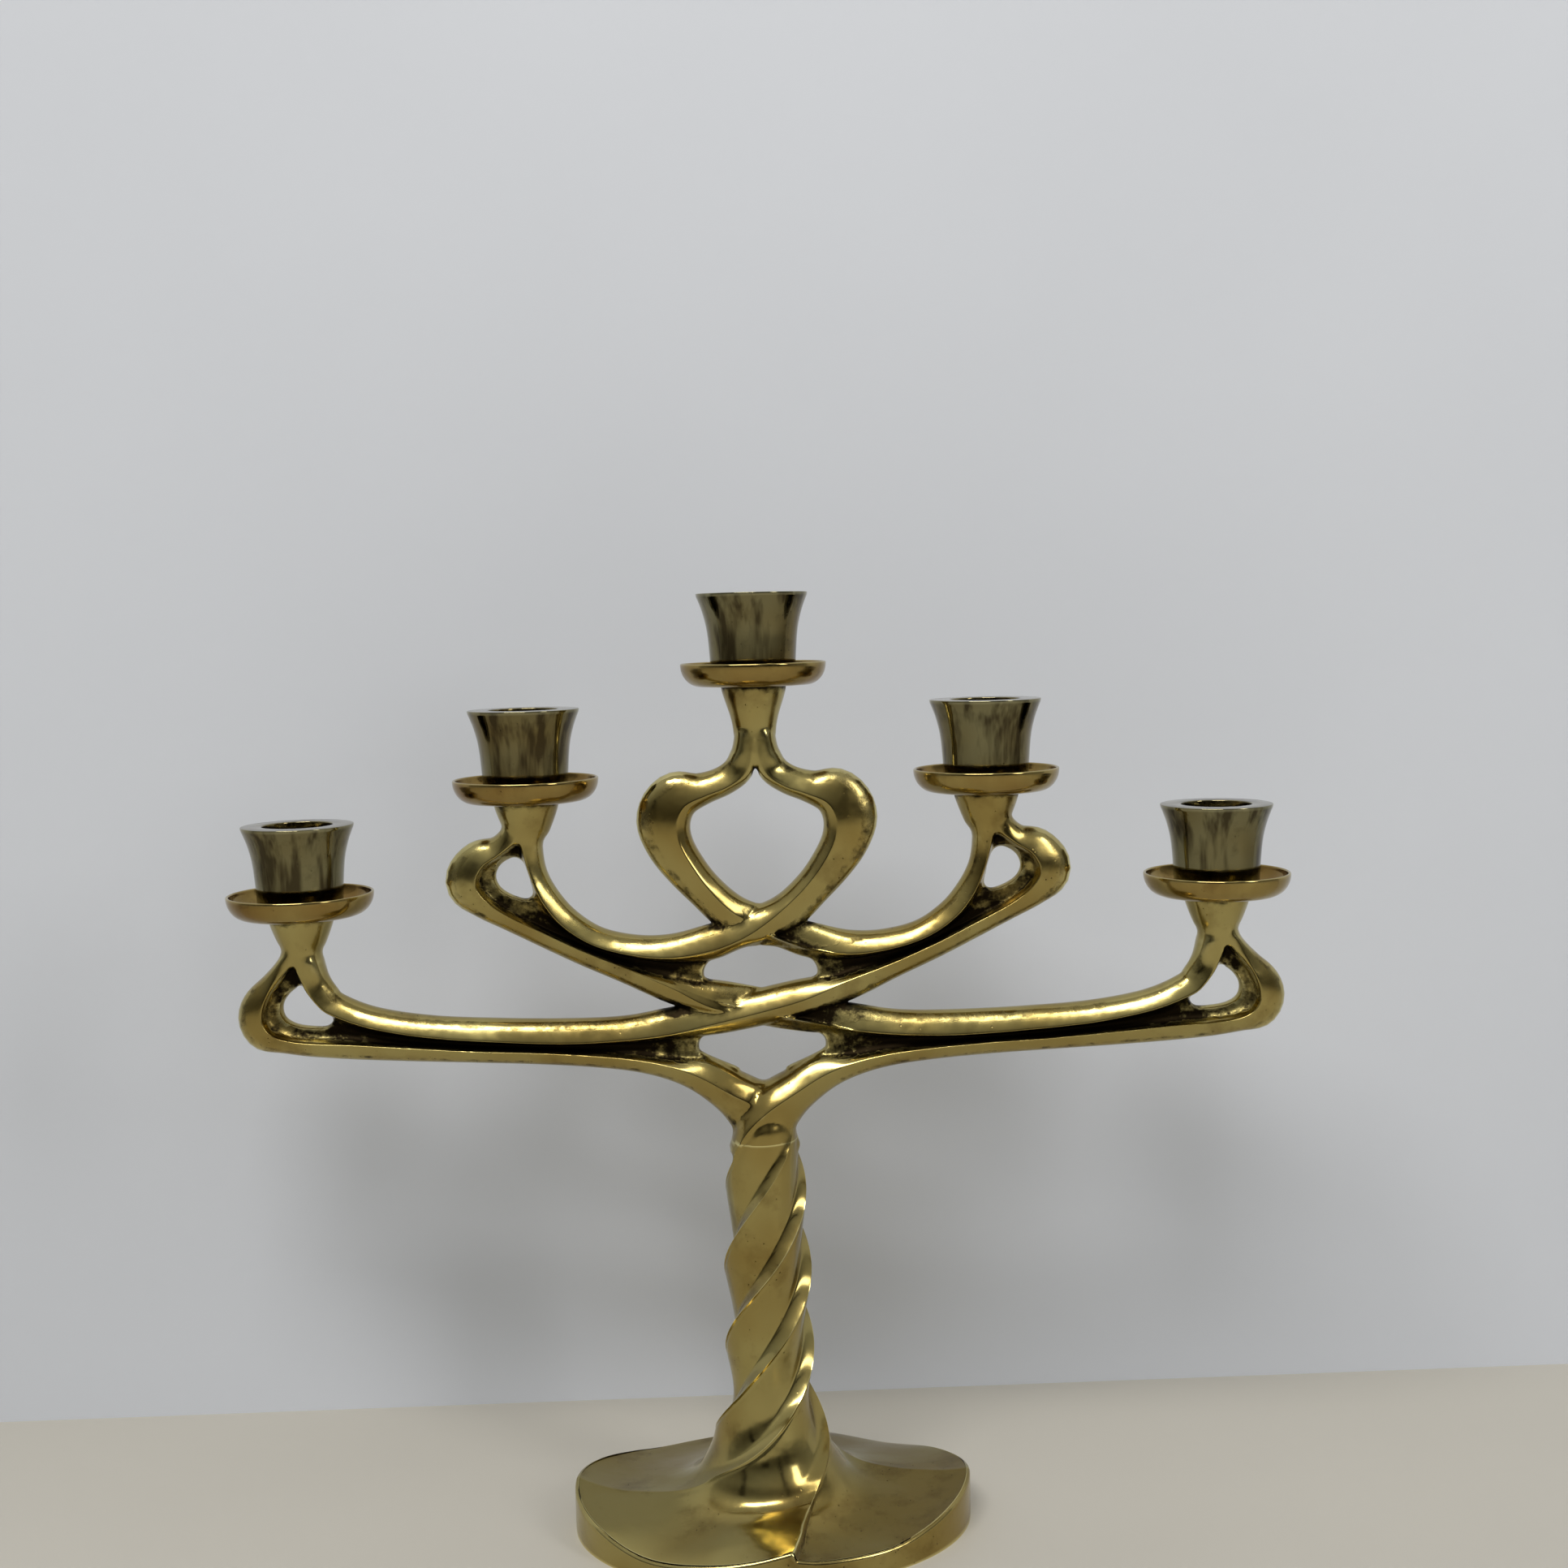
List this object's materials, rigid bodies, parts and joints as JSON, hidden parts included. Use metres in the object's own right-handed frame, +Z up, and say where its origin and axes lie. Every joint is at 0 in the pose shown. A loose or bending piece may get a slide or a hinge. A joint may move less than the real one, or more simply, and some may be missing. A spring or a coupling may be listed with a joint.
{
  "type": "candle holder",
  "caption": "Brass branched candle holder with sweeping crossed arms on a twisted stem, turned nozzles that unscrew over loose drip pans, and an oval leaf-shaped foot.",
  "frame": {"origin": "centre of the oval foot at table level, on the axis of the stem", "axes": "+X along the row of lights, to the right seen from the front; +Y to the back; +Z up along the stem"},
  "size_m": [0.338, 0.096, 0.3016],
  "materials": {
    "castings": "aged cast brass, polished on the ridges, dark in the hollows",
    "pans": "turned brass, warm, lightly tarnished",
    "nozzles": "turned brass, dulled grey-green",
    "fixings": "plain steel, hidden in use"
  },
  "bodies": {
    "frame": {"foot_stem": "castings", "branches": "castings", "tie_rod": "fixings", "rod_washer": "fixings", "rod_nut": "fixings", "locating_dowel": "fixings", "nozzle_stud_left_outer": "fixings", "nozzle_stud_left_inner": "fixings", "nozzle_stud_centre": "fixings", "nozzle_stud_right_inner": "fixings", "nozzle_stud_right_outer": "fixings"},
    "pan_left_outer": {"drip_pan_left_outer": "pans"},
    "nozzle_left_outer": {"candle_nozzle_left_outer": "nozzles"},
    "pan_left_inner": {"drip_pan_left_inner": "pans"},
    "nozzle_left_inner": {"candle_nozzle_left_inner": "nozzles"},
    "pan_centre": {"drip_pan_centre": "pans"},
    "nozzle_centre": {"candle_nozzle_centre": "nozzles"},
    "pan_right_inner": {"drip_pan_right_inner": "pans"},
    "nozzle_right_inner": {"candle_nozzle_right_inner": "nozzles"},
    "pan_right_outer": {"drip_pan_right_outer": "pans"},
    "nozzle_right_outer": {"candle_nozzle_right_outer": "nozzles"}
  },
  "joints": [
    {"name": "lift_left_outer", "type": "slide", "parent": "frame", "child": "pan_left_outer", "axis": [0, 0, 1], "range_m": [0, 0.0061]},
    {"name": "unscrew_left_outer", "type": "hinge", "parent": "pan_left_outer", "child": "nozzle_left_outer", "pos_m": [-0.146, 0, 0.2041], "axis": [0, 0, 1], "range_deg": [0, 2160]},
    {"name": "lift_left_inner", "type": "slide", "parent": "frame", "child": "pan_left_inner", "axis": [0, 0, 1], "range_m": [0, 0.0061]},
    {"name": "unscrew_left_inner", "type": "hinge", "parent": "pan_left_inner", "child": "nozzle_left_inner", "pos_m": [-0.073, 0, 0.2391], "axis": [0, 0, 1], "range_deg": [0, 2160]},
    {"name": "lift_centre", "type": "slide", "parent": "frame", "child": "pan_centre", "axis": [0, 0, 1], "range_m": [0, 0.0061]},
    {"name": "unscrew_centre", "type": "hinge", "parent": "pan_centre", "child": "nozzle_centre", "pos_m": [0, 0, 0.2741], "axis": [0, 0, 1], "range_deg": [0, 2160]},
    {"name": "lift_right_inner", "type": "slide", "parent": "frame", "child": "pan_right_inner", "axis": [0, 0, 1], "range_m": [0, 0.0061]},
    {"name": "unscrew_right_inner", "type": "hinge", "parent": "pan_right_inner", "child": "nozzle_right_inner", "pos_m": [0.073, 0, 0.2391], "axis": [0, 0, 1], "range_deg": [0, 2160]},
    {"name": "lift_right_outer", "type": "slide", "parent": "frame", "child": "pan_right_outer", "axis": [0, 0, 1], "range_m": [0, 0.0061]},
    {"name": "unscrew_right_outer", "type": "hinge", "parent": "pan_right_outer", "child": "nozzle_right_outer", "pos_m": [0.146, 0, 0.2041], "axis": [0, 0, 1], "range_deg": [0, 2160]}
  ],
  "couplings": [
    {"joint": "lift_left_outer", "follows": "unscrew_left_outer", "m_per_rad": 0.00015915},
    {"joint": "lift_left_inner", "follows": "unscrew_left_inner", "m_per_rad": 0.00015915},
    {"joint": "lift_centre", "follows": "unscrew_centre", "m_per_rad": 0.00015915},
    {"joint": "lift_right_inner", "follows": "unscrew_right_inner", "m_per_rad": 0.00015915},
    {"joint": "lift_right_outer", "follows": "unscrew_right_outer", "m_per_rad": 0.00015915}
  ]
}
